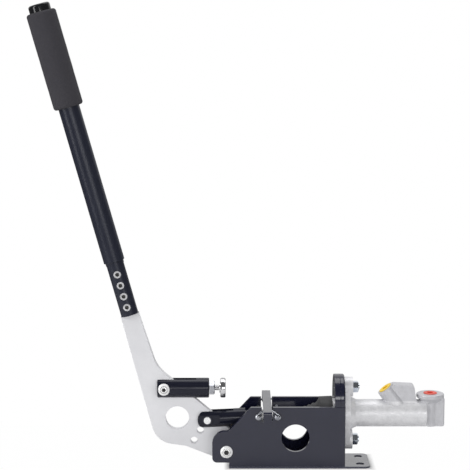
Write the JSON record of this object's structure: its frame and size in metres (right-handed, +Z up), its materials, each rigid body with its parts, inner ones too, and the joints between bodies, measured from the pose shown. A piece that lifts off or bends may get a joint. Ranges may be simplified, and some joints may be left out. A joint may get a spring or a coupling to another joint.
{
  "type": "hydraulic parking brake lever",
  "caption": "Upright hydraulic parking brake lever: foam-gripped handle on a cut plate arm, pivoting in a steel channel base and pushing a master cylinder through a clevis link.",
  "frame": {"origin": "on the underside of the base's floor plate, mid-width, below the end face that the master cylinder bolts to", "axes": "+X from the lever towards the master cylinder, +Y across the base away from the pivot bolt's head, +Z up"},
  "size_m": [0.4372, 0.098, 0.4878],
  "materials": {
    "black_steel": "satin black powder coat",
    "cast_aluminium": "as cast, fine grain",
    "blade_aluminium": "matte, clear anodised",
    "black_anodised": "black anodised, low gloss",
    "bright_steel": "bright zinc",
    "blue_zinc": "bluish zinc",
    "spring_steel": "plain",
    "bronze": "sintered bronze",
    "foam": "closed cell foam",
    "black_rubber": "matte",
    "black_plastic": "gloss black",
    "yellow_plastic": "yellow port plug",
    "red_plastic": "red port plug"
  },
  "bodies": {
    "base": {"near_side_plate": "black_steel", "far_side_plate": "black_steel", "floor_plate": "black_steel", "end_plate": "black_steel", "adapter_plate": "black_steel", "cylinder_body": "cast_aluminium", "inlet_plug": "yellow_plastic", "outlet_plug": "red_plastic", "flange_bolts": "blue_zinc", "flange_nuts": "blue_zinc", "stop_washer": "bright_steel", "retaining_ring": "spring_steel", "return_spring": "spring_steel", "dust_boot": "black_rubber", "pivot_bolt": "bright_steel", "pivot_nut": "bright_steel", "pivot_sleeve": "bright_steel", "pivot_spacers": "bright_steel", "lock_springs": "spring_steel", "spring_screws": "bright_steel"},
    "lever": {"pivot_bushing": "bronze", "lever_blade": "blade_aluminium", "blade_socket": "black_anodised", "socket_screws": "bright_steel", "handle_tube": "black_anodised", "foam_grip": "foam", "end_cap": "black_plastic", "stop_block": "black_anodised", "stop_block_screw": "bright_steel", "stop_block_nut": "bright_steel", "stop_lock_nut": "bright_steel", "link_pin": "bright_steel", "link_pin_clips": "black_steel"},
    "link": {"clevis_link": "black_anodised", "push_rod": "bright_steel", "push_rod_nut": "bright_steel"},
    "piston": {"piston": "blade_aluminium", "piston_seals": "black_rubber"},
    "lock_bar": {"lock_bar": "black_steel"},
    "stop_screw": {"stop_screw": "bright_steel"}
  },
  "joints": [
    {"name": "lever_pull", "type": "hinge", "parent": "base", "child": "lever", "pos_m": [-0.1252, 0, 0.0181], "axis": [0, 1, 0], "range_deg": [0, 30]},
    {"name": "link_turn", "type": "hinge", "parent": "lever", "child": "link", "pos_m": [-0.1456, 0, 0.0478], "axis": [0, 1, 0], "range_deg": [-27.5, 0.5], "deforming": ["dust_boot"]},
    {"name": "piston_push", "type": "slide", "parent": "base", "child": "piston", "axis": [1, 0, 0], "range_m": [-0.0002, 0.018], "deforming": ["return_spring"]},
    {"name": "lock_bar_press", "type": "slide", "parent": "base", "child": "lock_bar", "axis": [0, 0, -1], "range_m": [0, 0.0048], "stiffness_N_per_m": 400, "springref_m": -0.004, "deforming": ["lock_springs"]},
    {"name": "stop_screw_adjust", "type": "slide", "parent": "lever", "child": "stop_screw", "axis": [1, 0, 0], "range_m": [-0.004, 0.0025]}
  ],
  "couplings": [
    {"joint": "link_turn", "follows": "lever_pull", "ratio": -0.9054},
    {"joint": "piston_push", "follows": "lever_pull", "m_per_rad": 0.033843}
  ]
}
